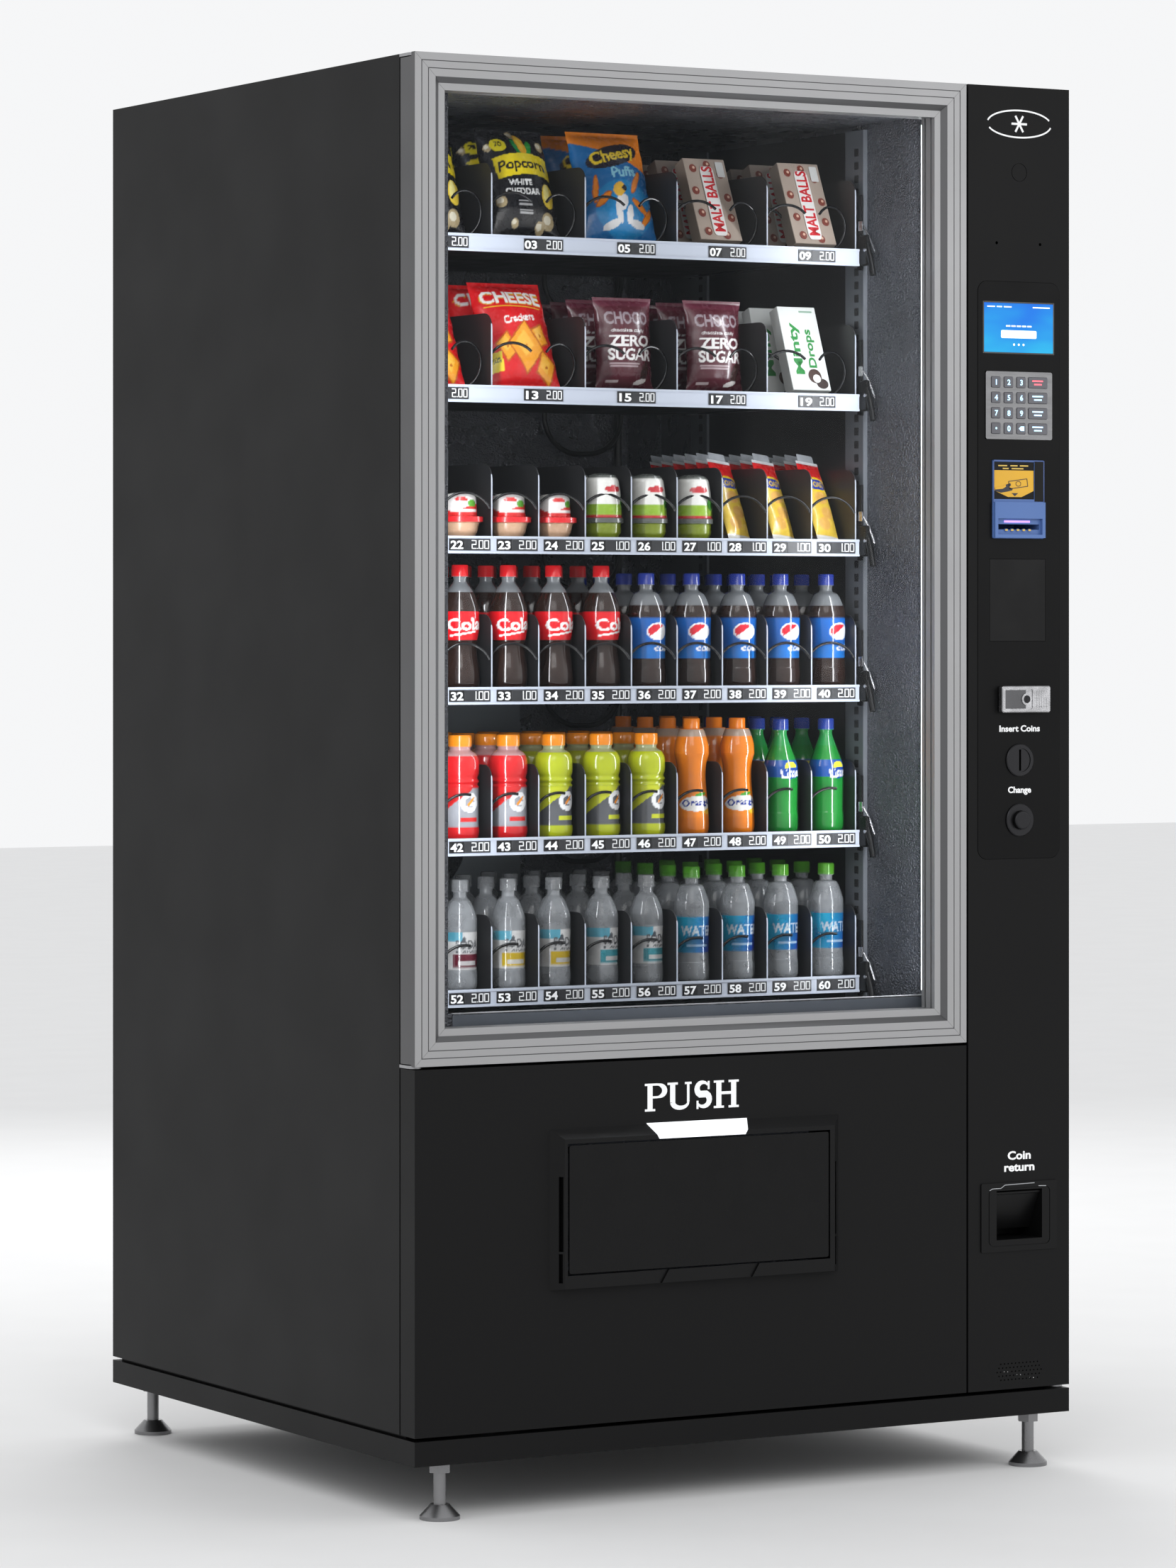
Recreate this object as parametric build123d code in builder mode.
"""Snack vending machine: insulated glass-fronted cabinet with six spiral trays.

Millimetres, +Z up. The origin is on the floor under the middle of the cabinet,
-Y is the customer's side. Each piece is a separate node in parts/.
"""
import os
from math import atan2, degrees

from build123d import *

os.makedirs("parts", exist_ok=True)

# ---------------------------------------------------------------- driving dimensions
WIDTH = 1046.0
DEPTH = 941.0
HEIGHT = 1940.0
FOOT_HEIGHT = 75.0          # floor to the underside of the plinth
PLINTH_HEIGHT = 33.0
PLINTH_GAP = 5.0            # shadow gap between plinth and body
DOOR_THICK = 40.0
DOOR_GAP = 3.0              # between the doors and the cabinet front
SKIN = 2.0                  # sheet-metal thickness
FRONT_PROUD = 15.0          # delivery bezel in front of the body
LAMP_PROUD = 1.3            # light window in front of the bezel

LEFT = -WIDTH / 2
RIGHT = WIDTH / 2
FRONT = -DEPTH / 2
REAR = DEPTH / 2
PLINTH_TOP = FOOT_HEIGHT + PLINTH_HEIGHT
BODY_BOTTOM = PLINTH_TOP + PLINTH_GAP
DOOR_BACK = FRONT + DOOR_THICK
BODY_FRONT = DOOR_BACK + DOOR_GAP

# front layout
LOWER_PANEL_TOP = 598.0
GLASS_DOOR_BOTTOM = 602.0
GLASS_DOOR_RIGHT = LEFT + 872.0
COLUMN_LEFT = GLASS_DOOR_RIGHT + DOOR_GAP
COLUMN_CENTRE = 438.0
FRAME_WIDTH = 48.5          # glass door frame, outer edge to glass
FRAME_FACE = 31.0           # flat front face of that frame
FRAME_STEP = 8.2            # sloped step inside the face
FRAME_STEP_DEPTH = 7.0

# hinges: distance of the pins from the side of the machine and from the door's front
HINGE_INSET = 10.0
HINGE_SETBACK = 20.0
HINGE_PIN_RADIUS = 4.0
PIN_CLEARANCE = 0.05
BRACKET_THICK = 4.0

# insulated cabin
CABIN_LEFT = -448.8
CABIN_RIGHT = 325.0
CABIN_TOP = 1900.0
CABIN_FLOOR = 630.0
CABIN_BACK = 427.0
PARTITION_RIGHT = 350.0

# trays
TRAY_COUNT = 6
TOP_RAIL_Z = 1720.8         # top edge of the highest price rail
TRAY_PITCH = 207.1
LANE_PITCH = 74.1
LANE_COUNT = 10
TRAY_LEFT = -432.4
TRAY_RIGHT = TRAY_LEFT + LANE_COUNT * LANE_PITCH
TRAY_FRONT = FRONT + 215.0
TRAY_REAR = 300.0
RAIL_HEIGHT = 24.0
RAIL_DEPTH = 8.0
RAIL_DROP = 10.0            # tray floor below the rail's top edge
DIVIDER_HEIGHT = 110.0
DIVIDER_THICK = 1.6
SPIRAL_RADIUS = 30.0        # to the wire's centre
SPIRAL_PITCH = 64.0
SPIRAL_TURNS = 8.0
WIRE_RADIUS = 2.0
SPIRAL_TRAYS = (3, 4, 5, 6)

# delivery flap, at the front of the delivery bezel
FLAP_X = (-297.0, 112.0)
FLAP_Z = (318.0, 489.5)
FLAP_GAP = 2.5
FLAP_PIN_Y = FRONT - 7.5
FLAP_PIN_Z = 483.0
BEZEL_X = (-319.0, 137.0)
BEZEL_Z = (296.0, 511.0)

# control column
FASCIA_X = (368.0, 506.0)
FASCIA_Z = (857.0, 1666.0)
FASCIA_FRONT = FRONT - 0.5
SHEET_BACK = FRONT + SKIN
FLANGE_BACK = SHEET_BACK + 2.5
SCREEN_X = (378.5, 495.0)
SCREEN_Z = (1567.0, 1636.0)
KEYPAD_X = (380.4, 492.7)
KEYPAD_Z = (1445.0, 1540.0)
KEYPAD_FRONT = FRONT - 2.0
KEY_SIZE = 15.0
WIDE_KEY = 32.0
KEY_COLUMNS = (397.0, 418.3, 439.6)
WIDE_KEY_X = 468.0
KEY_ROWS = (1525.0, 1503.4, 1481.8, 1460.2)
KEY_NAMES = (
    ("key_1", "key_2", "key_3", "key_cancel"),
    ("key_4", "key_5", "key_6", "key_select_a"),
    ("key_7", "key_8", "key_9", "key_select_b"),
    ("key_dot", "key_0", "key_erase", "key_enter"),
)
BILL_X = (392.0, 479.0)
BILL_Z = (1306.0, 1416.0)
READER_X = (388.0, 482.0)
READER_Z = (1162.0, 1277.0)
LOCK_CENTRE = (443.0, 1080.5)
LOCK_HANDLE = (82.0, 37.0, 9.0)
COIN_SLOT_Z = 995.0
RETURN_BUTTON_Z = 911.0
ROUND_BEZEL = 23.0
CUP_X = (373.0, 501.0)
CUP_Z = (306.5, 403.0)
CUP_MOUTH_X = (398.5, 475.5)
CUP_MOUTH_Z = (323.0, 392.0)


# ---------------------------------------------------------------- helpers
def slab(x, y, z, mode=Mode.ADD):
    """Rectangular block between the low and high values of x, y and z."""
    with Locations(((x[0] + x[1]) / 2, (y[0] + y[1]) / 2, (z[0] + z[1]) / 2)):
        Box(x[1] - x[0], y[1] - y[0], z[1] - z[0], mode=mode)


def grow(pair, amount):
    """The same span, larger by amount at both ends."""
    return (pair[0] - amount, pair[1] + amount)


def middle(pair):
    return (pair[0] + pair[1]) / 2


def front_plane(y):
    """Plane facing the customer at depth y: local x is +X, local y is +Z."""
    return Plane(origin=(0, y, 0), x_dir=(1, 0, 0), z_dir=(0, -1, 0))


def rounded_slab(x, y, z, radius, mode=Mode.ADD):
    """Block whose front view has rounded corners."""
    with BuildSketch(front_plane(y[1]), mode=Mode.PRIVATE) as outline:
        with Locations((middle(x), middle(z))):
            RectangleRounded(x[1] - x[0], z[1] - z[0], radius)
    extrude(outline.sketch, amount=y[1] - y[0], mode=mode)


def rod(start, end, radius, mode=Mode.ADD):
    """Round bar between two points."""
    direction = Vector(*end) - Vector(*start)
    with BuildSketch(Plane(origin=start, z_dir=direction), mode=Mode.PRIVATE) as section:
        Circle(radius)
    extrude(section.sketch, amount=direction.length, mode=mode)


def save(piece, name):
    """Label a finished piece and write its STEP file."""
    piece.part.label = name
    export_step(piece.part, f"parts/{name}.step")


def block(x, y, z):
    """A slab as a separate part of a group."""
    with BuildPart() as piece:
        slab(x, y, z)
    return piece.part


def save_group(pieces, name):
    """Write several separate solids that touch, such as riveted plates, as one node."""
    solids = [solid for piece in pieces for solid in piece.solids()]
    for index, solid in enumerate(solids, 1):
        solid.label = f"{name}_{index}"
    export_step(Compound(label=name, children=solids), f"parts/{name}.step")


# ---------------------------------------------------------------- cabinet
def make_cabinet_shell():
    """Side skins, roof and the narrow returns around the front."""
    wall_z = (BODY_BOTTOM, HEIGHT - SKIN)
    depth = (BODY_FRONT, REAR)
    return_y = (BODY_FRONT, BODY_FRONT + SKIN)
    with BuildPart() as left_skin:
        slab((LEFT, LEFT + SKIN), depth, wall_z)
        slab((LEFT, LEFT + 22), return_y, wall_z)
    with BuildPart() as right_skin:
        slab((RIGHT - SKIN, RIGHT), depth, wall_z)
        slab((RIGHT - 22, RIGHT), return_y, wall_z)
    with BuildPart() as roof:
        slab((LEFT, RIGHT), depth, (HEIGHT - SKIN, HEIGHT))
        slab((LEFT + 22, RIGHT - 22), return_y, (HEIGHT - 24, HEIGHT))
    save_group((left_skin.part, right_skin.part, roof.part), "cabinet_shell")


def make_rear_panel():
    """Rear cover with condenser louvres, four wall stops and the mains inlet."""
    with BuildPart() as rear_panel:
        slab((LEFT + SKIN, RIGHT - SKIN), (REAR - SKIN, REAR), (BODY_BOTTOM, HEIGHT - SKIN))
        louvre_rows = 14
        louvre_columns = 4
        with Locations((-60, REAR, 330)):
            with GridLocations(120, 0, louvre_columns, 1):
                with Locations(*[(0, 0, (row - louvre_rows / 2) * 20) for row in range(louvre_rows)]):
                    Box(95, 3 * SKIN, 8, mode=Mode.SUBTRACT)
        inlet_x = (-440, -388)
        inlet_z = (150, 184)
        slab(inlet_x, (REAR - 3 * SKIN, REAR + SKIN), inlet_z, mode=Mode.SUBTRACT)
    with BuildPart() as wall_stops:
        for x in (-450, 450):
            for z in (260, 1800):
                rod((x, REAR, z), (x, REAR + FRONT_PROUD + LAMP_PROUD, z), 20)
    with BuildPart() as mains_inlet:
        slab(inlet_x, (REAR - 22, REAR + 1.5), inlet_z)
        slab(grow(inlet_x, -8), (REAR - 14, REAR + 1.5), grow(inlet_z, -6), mode=Mode.SUBTRACT)
        for x in (-421, -414, -407):
            slab((x - 1, x + 1), (REAR - 14, REAR - 2), (163, 171))
    save_group((rear_panel.part, wall_stops.part, mains_inlet.part), "rear_panel")


def foot_places():
    inset_x = 52.0
    inset_y = 27.0
    return [(x, y) for x in (LEFT + inset_x, RIGHT - inset_x) for y in (FRONT + inset_y, REAR - inset_y)]


FOOT_ROD = 8.5


def make_base_plinth():
    """Folded base tray, flush all round, with a set-back deck that carries the body."""
    with BuildPart() as base_plinth:
        slab((LEFT, RIGHT), (FRONT, REAR), (FOOT_HEIGHT, PLINTH_TOP))
        inside_x = (LEFT + 3, RIGHT - 3)
        inside_y = (FRONT + 3, REAR - 3)
        slab(inside_x, inside_y, (FOOT_HEIGHT + 4, PLINTH_TOP - 3), mode=Mode.SUBTRACT)
        slab((LEFT + 10, RIGHT - 10), (BODY_FRONT, REAR - 10), (PLINTH_TOP, BODY_BOTTOM))
        for x, y in foot_places():
            rod((x, y, FOOT_HEIGHT - 1), (x, y, FOOT_HEIGHT + 5), FOOT_ROD + 0.2, mode=Mode.SUBTRACT)
    save(base_plinth, "base_plinth")


def make_levelling_feet():
    """Four screwed feet: cone pad, threaded rod and lock nut."""
    with BuildPart() as levelling_feet:
        for x, y in foot_places():
            with BuildSketch(Plane.XZ, mode=Mode.PRIVATE) as profile:
                with BuildLine():
                    Polyline((0, 0), (27, 0), (27, 5), (13, 20), (FOOT_ROD, 20), (FOOT_ROD, 100), (0, 100),
                             close=True)
                make_face()
            spun = revolve(profile.sketch, axis=Axis.Z, mode=Mode.PRIVATE)
            with BuildSketch(Plane.XY.offset(FOOT_HEIGHT - 13), mode=Mode.PRIVATE) as nut:
                RegularPolygon(15.5, 6)
                Circle(FOOT_ROD, mode=Mode.SUBTRACT)
            nut_solid = extrude(nut.sketch, amount=13, mode=Mode.PRIVATE)
            with Locations((x, y, 0)):
                add(spun)
                add(nut_solid)
    save(levelling_feet, "levelling_feet")


def make_insulated_liner():
    """Foamed walls, ceiling, floor and back of the cabin, and the sill at its front."""
    full = (BODY_BOTTOM, HEIGHT - SKIN)
    liner_y = (BODY_FRONT + SKIN, CABIN_BACK + 38)
    inside = (CABIN_LEFT, CABIN_RIGHT)
    floor_z = (CABIN_FLOOR - 40, CABIN_FLOOR)
    slabs = (
        block((LEFT + SKIN, CABIN_LEFT), liner_y, full),
        block((CABIN_RIGHT, PARTITION_RIGHT), liner_y, full),
        block(inside, liner_y, (CABIN_TOP, HEIGHT - SKIN)),
        block(inside, (CABIN_BACK, CABIN_BACK + 38), (floor_z[0], CABIN_TOP)),
        block(inside, (TRAY_FRONT + 3, CABIN_BACK), floor_z),
        block(inside, (FRONT + 46, FRONT + 64), (LOWER_PANEL_TOP + 2, 666)),
    )
    save_group(slabs, "insulated_liner")


def rail_top(tray):
    """Height of the top edge of a tray's price rail; tray 1 is the highest."""
    return TOP_RAIL_Z - (tray - 1) * TRAY_PITCH


def tray_floor(tray):
    return rail_top(tray) - RAIL_DROP


def rack_sides():
    """Low and high x of the wall strip taken by the rack, and the direction into the cabin."""
    return (((CABIN_LEFT, CABIN_LEFT + 7), 1), ((CABIN_RIGHT - 7, CABIN_RIGHT), -1))


def make_tray_rack():
    """Slotted uprights, side plates and one pair of runners for each tray."""
    rack_z = (CABIN_FLOOR + 8, CABIN_TOP - 8)
    pieces = []
    for strip, inward in rack_sides():
        pieces.append(block(strip, (FRONT + 218, FRONT + 265), rack_z))
        pieces.append(block(strip, (FRONT + 650, FRONT + 697), rack_z))
        wall = CABIN_LEFT if inward > 0 else CABIN_RIGHT
        plate = sorted((wall + inward * 1, wall + inward * 3))
        pieces.append(block(plate, (FRONT + 265, FRONT + 650), rack_z))
        runner = sorted((wall + inward * 7, wall + inward * 22))
        for tray in range(1, TRAY_COUNT + 1):
            ledge_top = tray_floor(tray) - 2.0
            pieces.append(block(runner, (FRONT + 225, FRONT + 690), (ledge_top - 2, ledge_top)))
    save_group(pieces, "tray_rack")


LED_THICK = 3.5


def make_led_strips():
    """Lit profiles up both front corners of the cabin."""
    with BuildPart() as led_strips:
        lit_y = (FRONT + 68, FRONT + 73)
        lit_z = (672, 1887)
        slab((CABIN_LEFT, CABIN_LEFT + LED_THICK), lit_y, lit_z)
        slab((CABIN_RIGHT - LED_THICK, CABIN_RIGHT), lit_y, lit_z)
    save(led_strips, "led_strips")


CONDUIT_X = 304.0
CONDUIT_RADIUS = 6.0
CABLE_RADIUS = 4.0
SOCKET_X = 167.0


def make_wiring_harness():
    """Vertical conduit on the back wall, and a clipped cable loop from each tray's socket."""
    conduit_y = CABIN_BACK - CONDUIT_RADIUS - 1
    with BuildPart() as wiring_harness:
        rod((CONDUIT_X, conduit_y, CABIN_FLOOR + 10), (CONDUIT_X, conduit_y, CABIN_TOP - 6), CONDUIT_RADIUS)
        cable_y = conduit_y - CONDUIT_RADIUS - CABLE_RADIUS - 1
        for tray in range(1, TRAY_COUNT):
            top = tray_floor(tray) + 20
            bottom = tray_floor(tray) - 58
            with BuildLine(mode=Mode.PRIVATE) as route:
                FilletPolyline((SOCKET_X, cable_y, top), (SOCKET_X + 3, cable_y, bottom),
                               (CONDUIT_X - 4, cable_y, bottom), (CONDUIT_X, cable_y, top), radius=58)
            section_plane = Plane(origin=route.line @ 0, z_dir=route.line % 0)
            with BuildSketch(section_plane, mode=Mode.PRIVATE) as section:
                Circle(CABLE_RADIUS)
            sweep(section.sketch, path=route.line)
            slab(grow((SOCKET_X, SOCKET_X), 14), (cable_y - 8, CABIN_BACK), (top, top + 22))
            slab(grow((CONDUIT_X, CONDUIT_X), 8), (cable_y - 6, conduit_y - CONDUIT_RADIUS), (top, top + 12))
    save(wiring_harness, "wiring_harness")


COVER_X = (-440.0, 110.0)
COVER_Z = (640.0, 1075.0)
COVER_DEPTH = 46.0
EVAPORATOR_FAN = (-300.0, 860.0)
DUCT_HOLE = (-60.0, 860.0)
EVAPORATOR_FAN_RADIUS = 74.0


def make_evaporator_cover():
    """Folded cover over the evaporator, low on the back wall, with a fan hole and an air hole."""
    cover_y = (CABIN_BACK - COVER_DEPTH, CABIN_BACK)
    with BuildPart() as evaporator_cover:
        slab(COVER_X, cover_y, COVER_Z)
        slab(grow(COVER_X, -SKIN), (cover_y[0] + SKIN, cover_y[1] + 1), grow(COVER_Z, -SKIN),
             mode=Mode.SUBTRACT)
        for x, z in (EVAPORATOR_FAN, DUCT_HOLE):
            rod((x, cover_y[0] - 1, z), (x, cover_y[0] + SKIN + 1, z), EVAPORATOR_FAN_RADIUS + 3,
                mode=Mode.SUBTRACT)
    with BuildPart() as evaporator_block:
        slab((-200, 90), (CABIN_BACK - 38, CABIN_BACK - 4), (655, 770))
    with BuildPart() as fan_motor:
        x, z = EVAPORATOR_FAN
        rod((x, CABIN_BACK, z), (x, CABIN_BACK - 20, z), 26)
    save_group((evaporator_cover.part, evaporator_block.part, fan_motor.part), "evaporator_cover")


def make_fan(name, centre, radius, length, blades, hub_radius):
    """Axial fan on a Y shaft: round hub with pitched blades."""
    x, y, z = centre
    with BuildPart() as fan:
        rod((x, y - length / 2, z), (x, y + length / 2, z), hub_radius)
        for index in range(blades):
            turn = 360 / blades * index
            blade_length = radius - hub_radius + 4
            blade = Box(2, length * 0.9, blade_length, align=(Align.CENTER, Align.CENTER, Align.MIN),
                        rotation=(0, 0, 38), mode=Mode.PRIVATE)
            place = Location((x, y, z)) * Location((0, 0, 0), (0, turn, 0)) * Location((0, 0, hub_radius - 4))
            add(place * blade)
    save(fan, name)


CONDENSER_FAN = (90.0, 60.0, 300.0)
CONDENSER_FAN_RADIUS = 98.0


def make_refrigeration_deck():
    """Deck plate with compressor, finned condenser, fan motor and fan shroud."""
    deck_top = BODY_BOTTOM + 4
    with BuildPart() as deck:
        slab((-440, 318), (-190, 440), (BODY_BOTTOM, deck_top))
    with BuildPart() as compressor:
        rod((-290, 170, deck_top), (-290, 170, deck_top + 185), 84)
        fillet(compressor.edges().group_by(Axis.Z)[-1], 45)
        rod((-290, 170, deck_top), (-290, 170, deck_top + 16), 92)
    with BuildPart() as condenser:
        x, y, z = CONDENSER_FAN
        with Locations((x, y - 110, z)):
            Box(230, 44, 230)
            with GridLocations(230 / 24, 1, 24, 1):
                Box(4, 60, 218, mode=Mode.SUBTRACT)
        for level in range(8):
            height = z - 98 + level * 28
            rod((x - 122, y - 110, height), (x + 122, y - 110, height), 5)
        slab((x - 122, x + 122), (y - 132, y - 88), (deck_top, z - 115))
    with BuildPart() as shroud:
        slab((x - 130, x + 130), (y - 22, y - 18), (deck_top, z + 130))
        rod((x, y - 30, z), (x, y - 10, z), CONDENSER_FAN_RADIUS + 5, mode=Mode.SUBTRACT)
    with BuildPart() as motor:
        rod((x, y + 22, z), (x, y + 80, z), 34)
        slab((x - 4, x + 4), (y + 40, y + 60), (deck_top, z - 30))
    units = (deck.part, compressor.part, condenser.part, shroud.part, motor.part)
    save_group(units, "refrigeration_deck")


def make_delivery_bin():
    """Sheet-metal bin under the drop zone, open at the top and towards the flap."""
    bin_x = (CABIN_LEFT, CABIN_RIGHT)
    bin_y = (BODY_FRONT + SKIN, TRAY_FRONT + 41)
    bin_z = (298.0, 588.0)
    wall_y = (bin_y[0], bin_y[1] - SKIN)
    wall_z = (bin_z[0] + SKIN, bin_z[1])
    plates = (
        block(bin_x, bin_y, (bin_z[0], wall_z[0])),
        block(bin_x, (wall_y[1], bin_y[1]), wall_z),
        block((bin_x[0], bin_x[0] + SKIN), wall_y, wall_z),
        block((bin_x[1] - SKIN, bin_x[1]), wall_y, wall_z),
    )
    save_group(plates, "delivery_bin")


def make_lower_panel():
    """Fixed panel under the glass door, with the opening for the delivery bezel."""
    with BuildPart() as lower_panel:
        slab((LEFT, GLASS_DOOR_RIGHT), (FRONT, DOOR_BACK), (BODY_BOTTOM, LOWER_PANEL_TOP))
        opening_x = grow(FLAP_X, FLAP_GAP + 3.3)
        opening_z = grow(FLAP_Z, FLAP_GAP + 3.3)
        slab(opening_x, (FRONT - 1, DOOR_BACK + 1), opening_z, mode=Mode.SUBTRACT)
    save(lower_panel, "lower_panel")


def make_delivery_bezel():
    """Raised surround of the flap: sloped top, side finger slots and two notches below."""
    face_y = FRONT - FRONT_PROUD
    side_slope = 15.0
    profile_top = 13.0
    with BuildPart() as delivery_bezel:
        with BuildSketch(Plane.YZ.offset(BEZEL_X[0])):
            with BuildLine():
                Polyline((FRONT, BEZEL_Z[0]), (face_y, BEZEL_Z[0] + 2), (face_y, BEZEL_Z[1] - profile_top),
                         (FRONT, BEZEL_Z[1]), close=True)
            make_face()
        extrude(amount=BEZEL_X[1] - BEZEL_X[0])
        for edge_x, turn in ((BEZEL_X[0], 1), (BEZEL_X[1], -1)):
            with BuildSketch(Plane.XY.offset(BEZEL_Z[0] - 1), mode=Mode.PRIVATE) as corner:
                with BuildLine():
                    Polyline((edge_x, FRONT), (edge_x + turn * side_slope, face_y),
                             (edge_x + turn * side_slope, face_y - 1), (edge_x - turn * 1, face_y - 1),
                             (edge_x - turn * 1, FRONT), close=True)
                make_face()
            extrude(corner.sketch, amount=BEZEL_Z[1] - BEZEL_Z[0] + 2, mode=Mode.SUBTRACT)
            slot_x = sorted((edge_x + turn * 9, edge_x + turn * 14.5))
            slab(slot_x, (face_y + 1.5, FRONT - 1.5), (348, 448), mode=Mode.SUBTRACT)
            low_slot_x = sorted((edge_x + turn * 9, edge_x + turn * 13))
            slab(low_slot_x, (face_y + 1.5, FRONT - 3), (306, 345), mode=Mode.SUBTRACT)
        collar_x = grow(FLAP_X, FLAP_GAP + 3)
        collar_z = grow(FLAP_Z, FLAP_GAP + 3)
        slab(collar_x, (FRONT, DOOR_BACK + 1), collar_z)
        slab(grow(FLAP_X, FLAP_GAP), (face_y - 1, DOOR_BACK + 2), grow(FLAP_Z, FLAP_GAP), mode=Mode.SUBTRACT)
        for x in (-166.0, -23.0):
            with BuildSketch(front_plane(face_y + 3), mode=Mode.PRIVATE) as notch:
                with BuildLine():
                    Polyline((x - 24, FLAP_Z[0] - 2), (x + 24, FLAP_Z[0] - 2), (x + 12, BEZEL_Z[0] + 1),
                             (x - 12, BEZEL_Z[0] + 1), close=True)
                make_face()
            extrude(notch.sketch, amount=4, mode=Mode.SUBTRACT)
        pin_reach = FLAP_GAP + 6.5
        rod((FLAP_X[0] - pin_reach, FLAP_PIN_Y, FLAP_PIN_Z), (FLAP_X[1] + pin_reach, FLAP_PIN_Y, FLAP_PIN_Z),
            2.5 + PIN_CLEARANCE, mode=Mode.SUBTRACT)
    save(delivery_bezel, "delivery_bezel")


def make_delivery_lamp():
    """White light window wrapped over the bezel's top slope, with slanted ends."""
    face_y = FRONT - FRONT_PROUD
    with BuildPart() as delivery_lamp:
        with BuildSketch(Plane.YZ.offset(-172)):
            with BuildLine():
                Polyline((FRONT - 0.3, BEZEL_Z[1] + 0.2), (face_y - 0.3, BEZEL_Z[1] - 12.8),
                         (face_y - 0.3, 492.5), (face_y - LAMP_PROUD, 492.5),
                         (face_y - LAMP_PROUD, BEZEL_Z[1] - 12.2), (FRONT - 0.3, BEZEL_Z[1] + 1.8),
                         close=True)
            make_face()
        extrude(amount=164)
        for edge_x, turn in ((-172, 1), (-8, -1)):
            with BuildSketch(front_plane(FRONT + 1), mode=Mode.PRIVATE) as slant:
                with BuildLine():
                    Polyline((edge_x - turn * 1, 514), (edge_x + turn * 2, 514), (edge_x + turn * 15, 491),
                             (edge_x - turn * 1, 491), close=True)
                make_face()
            extrude(slant.sketch, amount=FRONT_PROUD + 4, mode=Mode.SUBTRACT)
    save(delivery_lamp, "delivery_lamp")


def make_delivery_flap():
    """Top-hung flap that swings into the bin, with a knuckle bar and two end pins."""
    face_y = FRONT - FRONT_PROUD
    with BuildPart() as delivery_flap:
        slab(FLAP_X, (face_y, face_y + 3), FLAP_Z)
        fillet(delivery_flap.edges().filter_by(Axis.Y), 3)
        rod((FLAP_X[0] + 1, FLAP_PIN_Y, FLAP_PIN_Z), (FLAP_X[1] - 1, FLAP_PIN_Y, FLAP_PIN_Z), 5)
        rod((FLAP_X[0] - 7, FLAP_PIN_Y, FLAP_PIN_Z), (FLAP_X[1] + 7, FLAP_PIN_Y, FLAP_PIN_Z), 2.5)
    save(delivery_flap, "delivery_flap")


# ---------------------------------------------------------------- doors and their hinges
HINGE_X = RIGHT - HINGE_INSET
HINGE_Y = FRONT + HINGE_SETBACK
PIN_LENGTH = 26.0


def bracket_levels():
    """(side of the machine, low z of the plate, direction of the pin) for each hinge bracket."""
    return (
        (-1, GLASS_DOOR_BOTTOM - 3, 1),
        (-1, HEIGHT - BRACKET_THICK, -1),
        (1, PLINTH_TOP + 1, 1),
        (1, HEIGHT - BRACKET_THICK, -1),
    )


def make_hinge_brackets():
    """Four plates fixed to the cabinet, each with a round-ended arm and an upright pin."""
    with BuildPart() as hinge_brackets:
        for side, low, direction in bracket_levels():
            x = side * HINGE_X
            with BuildSketch(Plane.XY.offset(low), mode=Mode.PRIVATE) as arm:
                with Locations((x, HINGE_Y)):
                    Circle(HINGE_INSET)
                with Locations((x, (HINGE_Y + BODY_FRONT) / 2)):
                    Rectangle(2 * HINGE_INSET, BODY_FRONT - HINGE_Y)
            extrude(arm.sketch, amount=BRACKET_THICK)
            base = low + BRACKET_THICK if direction > 0 else low
            rod((x, HINGE_Y, base), (x, HINGE_Y, base + direction * PIN_LENGTH), HINGE_PIN_RADIUS)
    save(hinge_brackets, "hinge_brackets")


def cut_hinge_notch(side, low, direction):
    """Room for one bracket and its pin, cut from the corner of a door."""
    x = side * HINGE_X
    clear = 1.5
    notch_x = sorted((x + side * (HINGE_INSET + 1), x - side * (HINGE_INSET + 0.6)))
    notch_z = (low - 30, low + BRACKET_THICK + clear) if direction > 0 else (low - clear, low + 30)
    slab(notch_x, (HINGE_Y - HINGE_INSET - 0.6, DOOR_BACK + 1), notch_z, mode=Mode.SUBTRACT)
    base = low + BRACKET_THICK if direction > 0 else low
    rod((x, HINGE_Y, base), (x, HINGE_Y, base + direction * (PIN_LENGTH + 2)),
        HINGE_PIN_RADIUS + PIN_CLEARANCE, mode=Mode.SUBTRACT)


PANE_THICK = 4.0
PANE_DEPTHS = (14.0, 29.0)


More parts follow.
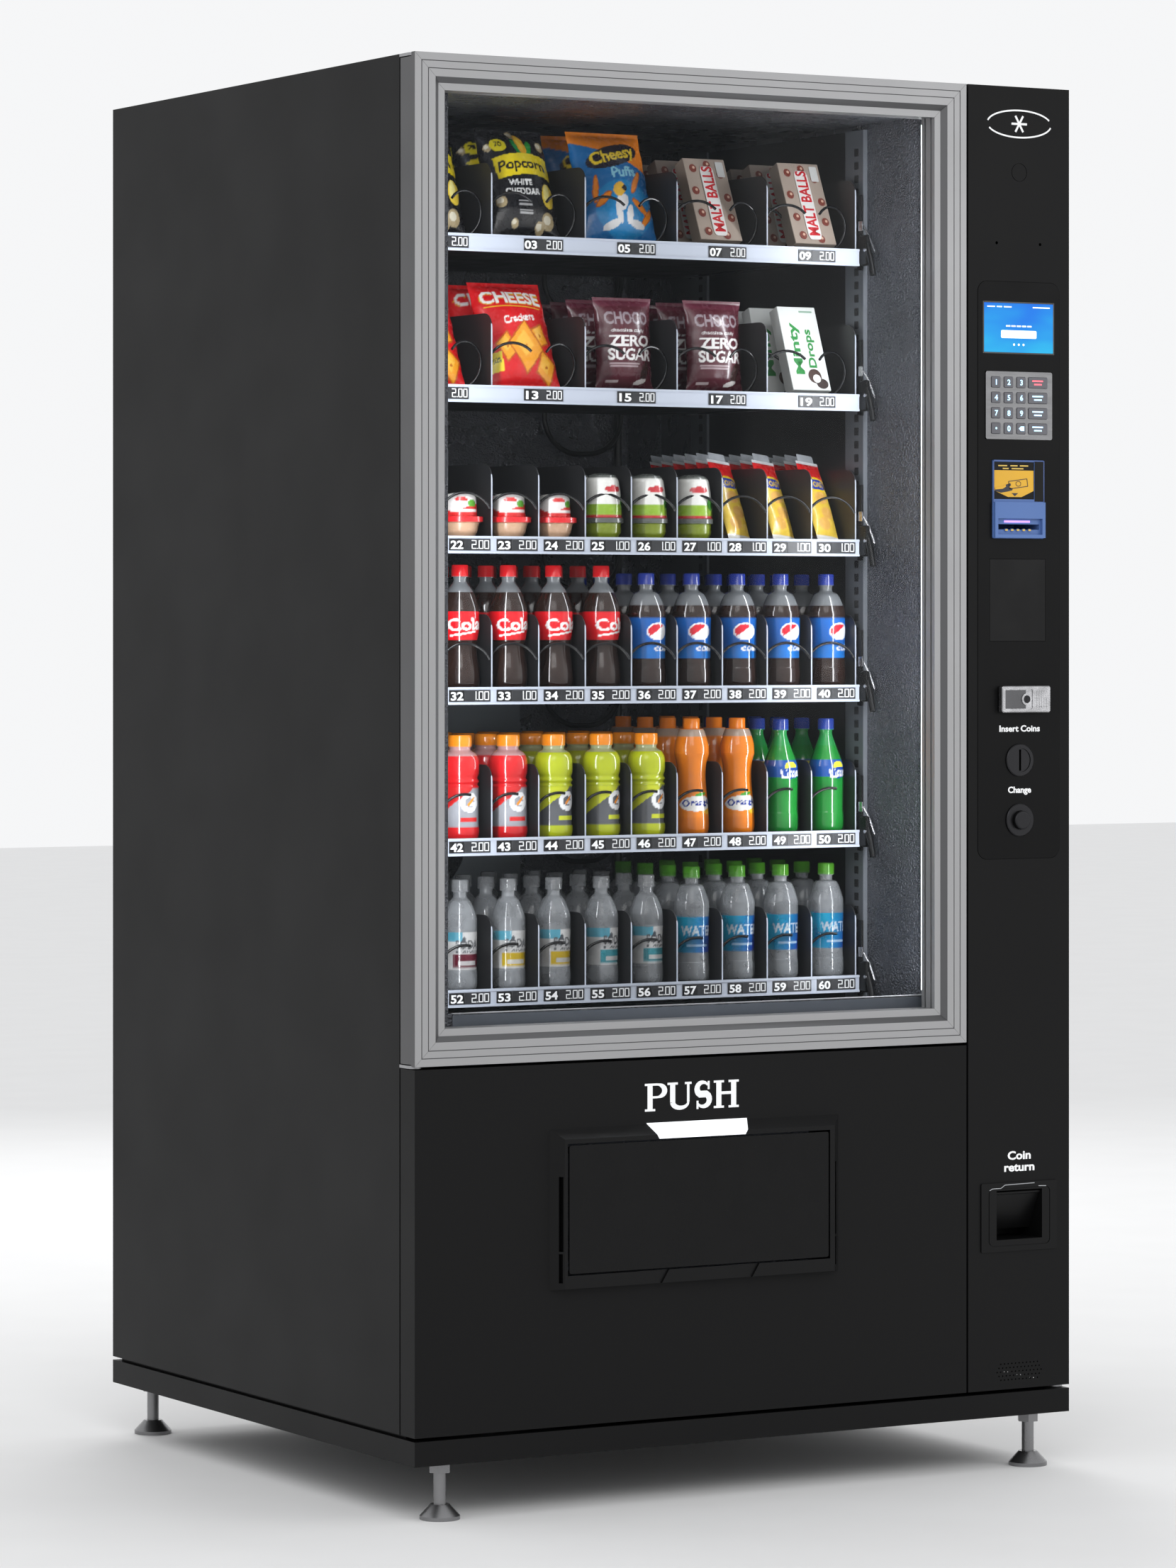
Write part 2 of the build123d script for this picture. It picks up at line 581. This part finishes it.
def make_door_frame():
    """Four mitred aluminium bars with a stepped front, two fine grooves and pane slots."""
    outer_x = (LEFT, GLASS_DOOR_RIGHT)
    outer_z = (GLASS_DOOR_BOTTOM, HEIGHT)
    centre = (middle(outer_x), middle(outer_z))
    width = outer_x[1] - outer_x[0]
    height = outer_z[1] - outer_z[0]
    with BuildPart() as door_frame:
        slab(outer_x, (FRONT, DOOR_BACK), outer_z)
        slab(grow(outer_x, -FRAME_WIDTH), (FRONT - 1, DOOR_BACK + 1), grow(outer_z, -FRAME_WIDTH),
             mode=Mode.SUBTRACT)
        inward = Plane(origin=(centre[0], FRONT, centre[1]), x_dir=(1, 0, 0), z_dir=(0, 1, 0))
        with BuildSketch(inward, mode=Mode.PRIVATE) as step:
            Rectangle(width - 2 * FRAME_FACE, height - 2 * FRAME_FACE)
        extrude(step.sketch, amount=FRAME_STEP_DEPTH, taper=degrees(atan2(FRAME_STEP, FRAME_STEP_DEPTH)),
                mode=Mode.SUBTRACT)
        for inset in (10, 20):
            with BuildSketch(inward, mode=Mode.PRIVATE) as groove:
                Rectangle(width - 2 * inset, height - 2 * inset)
                Rectangle(width - 2 * inset - 2.4, height - 2 * inset - 2.4, mode=Mode.SUBTRACT)
            extrude(groove.sketch, amount=0.9, mode=Mode.SUBTRACT)
        for depth in PANE_DEPTHS:
            slab(grow(outer_x, -FRAME_WIDTH + 8), (FRONT + depth, FRONT + depth + PANE_THICK),
                 grow(outer_z, -FRAME_WIDTH + 8), mode=Mode.SUBTRACT)
        for side, low, direction in bracket_levels()[:2]:
            cut_hinge_notch(side, low, direction)
        for x, turn_x in ((outer_x[0], 1), (outer_x[1], -1)):
            for z, turn_z in ((outer_z[0], 1), (outer_z[1], -1)):
                reach = FRAME_WIDTH / 2
                place = Location((x + turn_x * reach, middle((FRONT, DOOR_BACK)), z + turn_z * reach),
                                 (0, -45 * turn_x * turn_z, 0))
                saw = Box(FRAME_WIDTH * 1.6, DOOR_THICK + 2, 0.25, mode=Mode.PRIVATE)
                add(place * saw, mode=Mode.SUBTRACT)
    save(door_frame, "door_frame")


def make_door_glass():
    """Two panes held in the frame's slots."""
    with BuildPart() as door_glass:
        for depth in PANE_DEPTHS:
            slab(grow((LEFT, GLASS_DOOR_RIGHT), -FRAME_WIDTH + 7.5),
                 (FRONT + depth + 0.1, FRONT + depth + PANE_THICK - 0.1),
                 grow((GLASS_DOOR_BOTTOM, HEIGHT), -FRAME_WIDTH + 7.5))
    save(door_glass, "door_glass")


def make_column_panel():
    """Folded door of the control column, open at the back, with its hinge blocks."""
    outer_x = (COLUMN_LEFT, RIGHT)
    outer_z = (BODY_BOTTOM, HEIGHT)
    with BuildPart() as column_panel:
        slab(outer_x, (FRONT, DOOR_BACK), outer_z)
        slab(grow(outer_x, -SKIN), (SHEET_BACK, DOOR_BACK + 1), grow(outer_z, -SKIN), mode=Mode.SUBTRACT)
        block_x = (HINGE_X - HINGE_INSET - 6, RIGHT - SKIN)
        for low in (BODY_BOTTOM + SKIN, HEIGHT - 42):
            slab(block_x, (SHEET_BACK, DOOR_BACK), (low, low + 40))
        rounded_slab(grow(FASCIA_X, 0.5), (FRONT - 1, SHEET_BACK + 1), grow(FASCIA_Z, 0.5), 15.5,
                     mode=Mode.SUBTRACT)
        slab((388, 486), (FRONT - 1, SHEET_BACK + 1), (315, 398), mode=Mode.SUBTRACT)
        for side, low, direction in bracket_levels()[2:]:
            cut_hinge_notch(side, low, direction)
        for row in range(5):
            holes = 13 - abs(row - 2)
            for index in range(holes):
                x = COLUMN_CENTRE + (index - (holes - 1) / 2) * 6.2
                z = 137.5 + (row - 2) * 5.6
                rod((x, FRONT - 1, z), (x, SHEET_BACK + 1, z), 1.1, mode=Mode.SUBTRACT)
        rod((COLUMN_CENTRE, FRONT - 1, 1820), (COLUMN_CENTRE, FRONT + 0.8, 1820), 13, mode=Mode.SUBTRACT)
        rod((COLUMN_CENTRE, FRONT, 1820), (COLUMN_CENTRE, SHEET_BACK, 1820), 12.2)
        for x in (400.0, 473.5):
            rod((x, FRONT - 1, 1720), (x, SHEET_BACK + 1, 1720), 2.2, mode=Mode.SUBTRACT)
    save(column_panel, "column_panel")


def make_control_fascia():
    """Raised plate with the openings for screen, keys, note reader, lock and coins."""
    gap = 0.35
    with BuildPart() as control_fascia:
        rounded_slab(FASCIA_X, (FASCIA_FRONT, SHEET_BACK), FASCIA_Z, 15)
        rounded_slab(grow(FASCIA_X, 6), (SHEET_BACK, FLANGE_BACK), grow(FASCIA_Z, 6), 20)
        plug = (FASCIA_FRONT - 1, SHEET_BACK)
        through = (FASCIA_FRONT - 1, FLANGE_BACK + 1)
        slab(grow(SCREEN_X, gap), plug, grow(SCREEN_Z, gap), mode=Mode.SUBTRACT)
        slab(grow(SCREEN_X, -3), through, grow(SCREEN_Z, -3), mode=Mode.SUBTRACT)
        slab(grow(KEYPAD_X, gap), plug, grow(KEYPAD_Z, gap), mode=Mode.SUBTRACT)
        slab(grow(KEYPAD_X, -4), through, grow(KEYPAD_Z, -4.5), mode=Mode.SUBTRACT)
        slab(grow(READER_X, gap), plug, grow(READER_Z, gap), mode=Mode.SUBTRACT)
        slab(grow(BILL_X, gap), through, grow(BILL_Z, gap), mode=Mode.SUBTRACT)
        lock_x, lock_z = LOCK_CENTRE
        rod((lock_x, through[0], lock_z), (lock_x, through[1], lock_z), 15.3, mode=Mode.SUBTRACT)
        for z in (COIN_SLOT_Z, RETURN_BUTTON_Z):
            rod((COLUMN_CENTRE, through[0], z), (COLUMN_CENTRE, through[1], z), 17.3, mode=Mode.SUBTRACT)
    save(control_fascia, "control_fascia")


def make_display_screen():
    with BuildPart() as display_screen:
        slab(SCREEN_X, (FASCIA_FRONT - 0.3, SHEET_BACK), SCREEN_Z)
        slab(grow(SCREEN_X, -4), (SHEET_BACK, SHEET_BACK + 13), grow(SCREEN_Z, -4))
    save(display_screen, "display_screen")


def key_places():
    """(name, x, z, width) of each key."""
    places = []
    for row, z in enumerate(KEY_ROWS):
        for column, x in enumerate(KEY_COLUMNS):
            places.append((KEY_NAMES[row][column], x, z, KEY_SIZE))
        places.append((KEY_NAMES[row][3], WIDE_KEY_X, z, WIDE_KEY))
    return places


def make_keypad():
    """Steel keypad plate with its circuit board, and sixteen separate keys."""
    with BuildPart() as keypad_plate:
        rounded_slab(KEYPAD_X, (KEYPAD_FRONT, SHEET_BACK), KEYPAD_Z, 3)
        for _, x, z, width in key_places():
            rounded_slab(grow((x, x), width / 2 + 0.4), (KEYPAD_FRONT - 1, SHEET_BACK + 1),
                         grow((z, z), KEY_SIZE / 2 + 0.4), 1.9, mode=Mode.SUBTRACT)
        slab(grow(KEYPAD_X, -5), (SHEET_BACK + 4.5, SHEET_BACK + 6.5), grow(KEYPAD_Z, -5.5))
    save(keypad_plate, "keypad_plate")
    for name, x, z, width in key_places():
        with BuildPart() as key:
            rounded_slab(grow((x, x), width / 2), (KEYPAD_FRONT - 1.4, SHEET_BACK + 2),
                         grow((z, z), KEY_SIZE / 2), 1.5)
            chamfer(key.faces().sort_by(Axis.Y)[0].edges(), 0.4)
        save(key, name)


BILL_HEAD_Z = (1307.0, 1357.0)
BILL_HEAD_PROUD = 7.0
BILL_RECESS_Z = (1311.5, 1334.0)
BILL_SLOT_Z = (1318.5, 1326.0)


def make_bill_acceptor():
    """Note reader: bezel, guide plate seat, proud head with a toothed note slot, stacker behind."""
    bezel_y = (FRONT - 2.5, FRONT + 12)
    head_y = (FRONT - BILL_HEAD_PROUD, bezel_y[0] + 1)
    with BuildPart() as bill_acceptor:
        rounded_slab(BILL_X, bezel_y, BILL_Z, 3)
        slab((BILL_X[0] + 2, BILL_X[1] - 17), (bezel_y[0] - 1, bezel_y[0] + 1.5),
             (BILL_HEAD_Z[1] + 4, BILL_Z[1] - 2.5), mode=Mode.SUBTRACT)
        slab(grow(BILL_X, -1), head_y, BILL_HEAD_Z)
        slab(grow(BILL_X, -6), (head_y[0] - 1, head_y[1]), BILL_RECESS_Z, mode=Mode.SUBTRACT)
        slab((BILL_X[0] + 2, BILL_X[1] - 2), (bezel_y[1], FRONT + 104), (1262, 1440))
        slab(grow(BILL_X, -8), (head_y[0] - 1, FRONT + 60), BILL_SLOT_Z, mode=Mode.SUBTRACT)
        for index in range(5):
            x = BILL_X[0] + 22 + index * 9.8
            slab((x - 1.6, x + 1.6), (head_y[1] - 2, head_y[1] + 1),
                 (BILL_SLOT_Z[0] - 2.5, BILL_SLOT_Z[0] + 1.2))
    save(bill_acceptor, "bill_acceptor")


def make_reader_cover():
    """Blank plate over the place for a card reader."""
    with BuildPart() as reader_cover:
        slab(READER_X, (FASCIA_FRONT - 0.2, SHEET_BACK), READER_Z)
        chamfer(reader_cover.faces().sort_by(Axis.Y)[0].edges(), 0.3)
    save(reader_cover, "reader_cover")


LOCK_STEM_RADIUS = 8.0
LOCK_NOSE_RADIUS = 6.0
LOCK_FRONT = FRONT - 11.5


def make_lock():
    """Door lock: fixed housing, a stem that pops out, and the handle that turns on it."""
    x, z = LOCK_CENTRE
    plate_y = (FASCIA_FRONT - 1.2, FASCIA_FRONT)
    with BuildPart() as lock_housing:
        rounded_slab(grow((x, x), 39), plate_y, grow((z, z), 16.5), 2)
        rod((x, FASCIA_FRONT, z), (x, FRONT + 48, z), 15)
        rod((x, plate_y[0] - 1, z), (x, FRONT + 50, z), LOCK_STEM_RADIUS + PIN_CLEARANCE, mode=Mode.SUBTRACT)
    save(lock_housing, "lock_housing")
    handle_y = (LOCK_FRONT, LOCK_FRONT + LOCK_HANDLE[2])
    with BuildPart() as lock_stem:
        rod((x, handle_y[1] + 0.35, z), (x, FRONT + 46, z), LOCK_STEM_RADIUS)
        rod((x, handle_y[0] + 0.3, z), (x, handle_y[1] + 1, z), LOCK_NOSE_RADIUS)
        slab((x - 0.6, x + 0.6), (handle_y[0] - 1, handle_y[0] + 3), (z - 3.4, z + 3.4), mode=Mode.SUBTRACT)
    save(lock_stem, "lock_stem")
    with BuildPart() as lock_handle:
        rounded_slab(grow((x, x), LOCK_HANDLE[0] / 2), handle_y, grow((z, z), LOCK_HANDLE[1] / 2), 3)
        chamfer(lock_handle.faces().sort_by(Axis.Y)[0].edges(), 1.2)
        rounded_slab((x - 36, x + 10), (handle_y[0] - 1, handle_y[0] + 1), grow((z, z), 14), 2,
                     mode=Mode.SUBTRACT)
        rod((x, handle_y[0] - 1, z), (x, handle_y[1] + 1, z), LOCK_NOSE_RADIUS + PIN_CLEARANCE,
            mode=Mode.SUBTRACT)
    save(lock_handle, "lock_handle")


BUTTON_RADIUS = 13.0


def make_coin_fittings():
    """Two round bezels: one with the upright coin slot, one around the return button."""
    ring_y = (FRONT - 3.5, FASCIA_FRONT)
    with BuildPart() as coin_fittings:
        for z in (COIN_SLOT_Z, RETURN_BUTTON_Z):
            rod((COLUMN_CENTRE, ring_y[1], z), (COLUMN_CENTRE, ring_y[0], z), ROUND_BEZEL)
        chamfer(coin_fittings.faces().filter_by(Axis.Y).group_by(Axis.Y)[0].edges(), 1.2)
        for z in (COIN_SLOT_Z, RETURN_BUTTON_Z):
            rod((COLUMN_CENTRE, ring_y[1], z), (COLUMN_CENTRE, FRONT + 24, z), 17)
        rod((COLUMN_CENTRE, ring_y[0] - 1, COIN_SLOT_Z), (COLUMN_CENTRE, ring_y[0] + 1.2, COIN_SLOT_Z), 17,
            mode=Mode.SUBTRACT)
        slab(grow((COLUMN_CENTRE, COLUMN_CENTRE), 1.7), (ring_y[0] - 1, FRONT + 25),
             grow((COIN_SLOT_Z, COIN_SLOT_Z), 15), mode=Mode.SUBTRACT)
        rod((COLUMN_CENTRE, ring_y[0] - 1, RETURN_BUTTON_Z), (COLUMN_CENTRE, FRONT + 25, RETURN_BUTTON_Z),
            BUTTON_RADIUS + 0.4, mode=Mode.SUBTRACT)
    save(coin_fittings, "coin_fittings")


def make_coin_return_button():
    with BuildPart() as coin_return_button:
        rod((COLUMN_CENTRE, FRONT + 6, RETURN_BUTTON_Z), (COLUMN_CENTRE, FRONT - 10.5, RETURN_BUTTON_Z),
            BUTTON_RADIUS)
        fillet(coin_return_button.edges().group_by(Axis.Y)[0], 2.5)
    save(coin_return_button, "coin_return_button")


CUP_FLAP_AXIS = (FRONT + 5.0, 388.0)
CUP_FLAP_LENGTH = 58.0
CUP_FLAP_REST = 25.0


def make_coin_cup():
    """Recessed coin return cup with its bezel, and the small flap inside it."""
    cup_back = FRONT + 62
    with BuildPart() as coin_cup:
        rounded_slab(CUP_X, (FRONT - 2, FRONT), CUP_Z, 2)
        rounded_slab(grow(CUP_X, -12), (FRONT - 3, FRONT - 1.2), grow(CUP_Z, -7.5), 8, mode=Mode.SUBTRACT)
        rounded_slab(grow(CUP_X, -13.3), (FRONT - 2, FRONT - 0.5), grow(CUP_Z, -8.8), 7)
        slab(grow(CUP_MOUTH_X, 3), (FRONT, cup_back), grow(CUP_MOUTH_Z, 3))
        slab(CUP_MOUTH_X, (FRONT - 3, cup_back - 2), CUP_MOUTH_Z, mode=Mode.SUBTRACT)
        rod((CUP_MOUTH_X[0] - 2, *CUP_FLAP_AXIS), (CUP_MOUTH_X[1] + 2, *CUP_FLAP_AXIS), 1.5 + PIN_CLEARANCE,
            mode=Mode.SUBTRACT)
    save(coin_cup, "coin_cup")
    flap_x = grow(CUP_MOUTH_X, -1.0)
    with BuildPart() as coin_cup_flap:
        rod((flap_x[0], *CUP_FLAP_AXIS), (flap_x[1], *CUP_FLAP_AXIS), 2.6)
        rod((CUP_MOUTH_X[0] - 1.8, *CUP_FLAP_AXIS), (CUP_MOUTH_X[1] + 1.8, *CUP_FLAP_AXIS), 1.5)
        plate = Box(flap_x[1] - flap_x[0], 1.6, CUP_FLAP_LENGTH,
                    align=(Align.CENTER, Align.CENTER, Align.MAX), mode=Mode.PRIVATE)
        hang = Location((middle(flap_x), *CUP_FLAP_AXIS), (CUP_FLAP_REST, 0, 0))
        add(hang * plate)
    save(coin_cup_flap, "coin_cup_flap")


def make_coin_changer():
    """Coin mechanism behind the column: head, funnel and a cassette of coin tubes."""
    body_y = (FRONT + 46, FRONT + 104)
    with BuildPart() as coin_changer:
        slab((385, 491), body_y, (640, 860))
        slab((388, 488), (body_y[0], body_y[0] + 20), (470, 640))
        with BuildSketch(front_plane(body_y[0] + 34), mode=Mode.PRIVATE) as funnel:
            with BuildLine():
                Polyline((400, 860), (476, 860), (466, 965), (410, 965), close=True)
            make_face()
        extrude(funnel.sketch, amount=28)
        for index in range(5):
            x = 398 + index * 20
            rod((x, body_y[0] + 34, 480), (x, body_y[0] + 34, 640), 9)
    save(coin_changer, "coin_changer")


# ---------------------------------------------------------------- trays and spirals
def lane_edges(tray):
    """Divider positions: the two highest trays have double lanes."""
    step = 2 if tray <= 2 else 1
    return [TRAY_LEFT + index * LANE_PITCH for index in range(0, LANE_COUNT + 1, step)]


def make_tray(tray):
    """Pull-out tray: pan, dividers, price rail, rear wall and motor housing."""
    floor = tray_floor(tray)
    top = rail_top(tray)
    pan_x = (TRAY_LEFT - 1.6, TRAY_RIGHT + 1.6)
    rail_y = (TRAY_FRONT, TRAY_FRONT + RAIL_DEPTH)
    back_y = (TRAY_REAR - 4, TRAY_REAR - 2.5)
    pieces = [block(pan_x, (rail_y[1], TRAY_REAR), (floor - 1.5, floor))]
    with BuildPart() as price_rail:
        slab(pan_x, rail_y, (top - RAIL_HEIGHT, top))
        slab(grow(pan_x, 1), (rail_y[0] - 1, rail_y[0] + 1.2), (top - RAIL_HEIGHT + 3, top - 3),
             mode=Mode.SUBTRACT)
    pieces.append(price_rail.part)
    corner = 22
    crest = floor + DIVIDER_HEIGHT
    for x in lane_edges(tray):
        with BuildPart() as divider:
            with BuildSketch(Plane.YZ.offset(x - DIVIDER_THICK / 2)):
                with BuildLine():
                    Line((rail_y[1], floor), (rail_y[1], crest - corner))
                    RadiusArc((rail_y[1], crest - corner), (rail_y[1] + corner, crest), corner)
                    Polyline((rail_y[1] + corner, crest), (back_y[0], crest), (back_y[0], floor),
                             (rail_y[1], floor))
                make_face()
            extrude(amount=DIVIDER_THICK)
        pieces.append(divider.part)
    with BuildPart() as rear_wall:
        slab(pan_x, back_y, (floor, floor + 88))
        if tray in SPIRAL_TRAYS:
            x, z = spiral_axis(tray)
            rod((x, TRAY_REAR - 6, z), (x, TRAY_REAR, z), 3 + PIN_CLEARANCE, mode=Mode.SUBTRACT)
    pieces.append(rear_wall.part)
    with BuildPart() as motor_housing:
        slab((TRAY_LEFT + 4, TRAY_RIGHT - 4), (TRAY_REAR + 8, TRAY_REAR + 52), (floor + 8, floor + 80))
        slab((TRAY_LEFT + 4, TRAY_RIGHT - 4), (back_y[1], TRAY_REAR + 8), (floor + 70, floor + 74))
    pieces.append(motor_housing.part)
    save_group(pieces, f"tray_{tray}")


def spiral_axis(tray):
    """Centre of the left-hand lane's spiral."""
    return (TRAY_LEFT + LANE_PITCH / 2, tray_floor(tray) + SPIRAL_RADIUS + WIRE_RADIUS + 2)


def make_spiral(tray):
    """Wire spiral on a short shaft that passes through the tray's rear wall."""
    x, z = spiral_axis(tray)
    start_y = TRAY_FRONT + RAIL_DEPTH + 8
    length = SPIRAL_PITCH * SPIRAL_TURNS
    end_y = start_y + length
    with BuildPart() as spiral:
        with BuildLine(mode=Mode.PRIVATE) as wire:
            Helix(SPIRAL_PITCH, length, SPIRAL_RADIUS, center=(x, start_y, z), direction=(0, 1, 0))
        section_plane = Plane(origin=wire.line @ 0, z_dir=wire.line % 0)
        with BuildSketch(section_plane, mode=Mode.PRIVATE) as section:
            Circle(WIRE_RADIUS)
        sweep(section.sketch, path=wire.line, is_frenet=True)
        tail = wire.line @ 1
        rod((tail.X, end_y, tail.Z), (x, end_y, z), WIRE_RADIUS + 0.4)
        rod((x, end_y - 3, z), (x, TRAY_REAR + 6, z), 3)
    save(spiral, f"spiral_{tray}")


make_cabinet_shell()
make_rear_panel()
make_base_plinth()
make_levelling_feet()
make_insulated_liner()
make_tray_rack()
make_led_strips()
make_wiring_harness()
make_evaporator_cover()
make_fan("evaporator_fan", (EVAPORATOR_FAN[0], CABIN_BACK - 32, EVAPORATOR_FAN[1]), EVAPORATOR_FAN_RADIUS,
         18, 5, 22)
make_refrigeration_deck()
make_fan("condenser_fan", CONDENSER_FAN, CONDENSER_FAN_RADIUS, 30, 5, 26)
make_delivery_bin()
make_lower_panel()
make_delivery_bezel()
make_delivery_lamp()
make_delivery_flap()
make_hinge_brackets()
make_door_frame()
make_door_glass()
make_column_panel()
make_control_fascia()
make_display_screen()
make_keypad()
make_bill_acceptor()
make_reader_cover()
make_lock()
make_coin_fittings()
make_coin_return_button()
make_coin_cup()
make_coin_changer()
for tray_number in range(1, TRAY_COUNT + 1):
    make_tray(tray_number)
for tray_number in SPIRAL_TRAYS:
    make_spiral(tray_number)
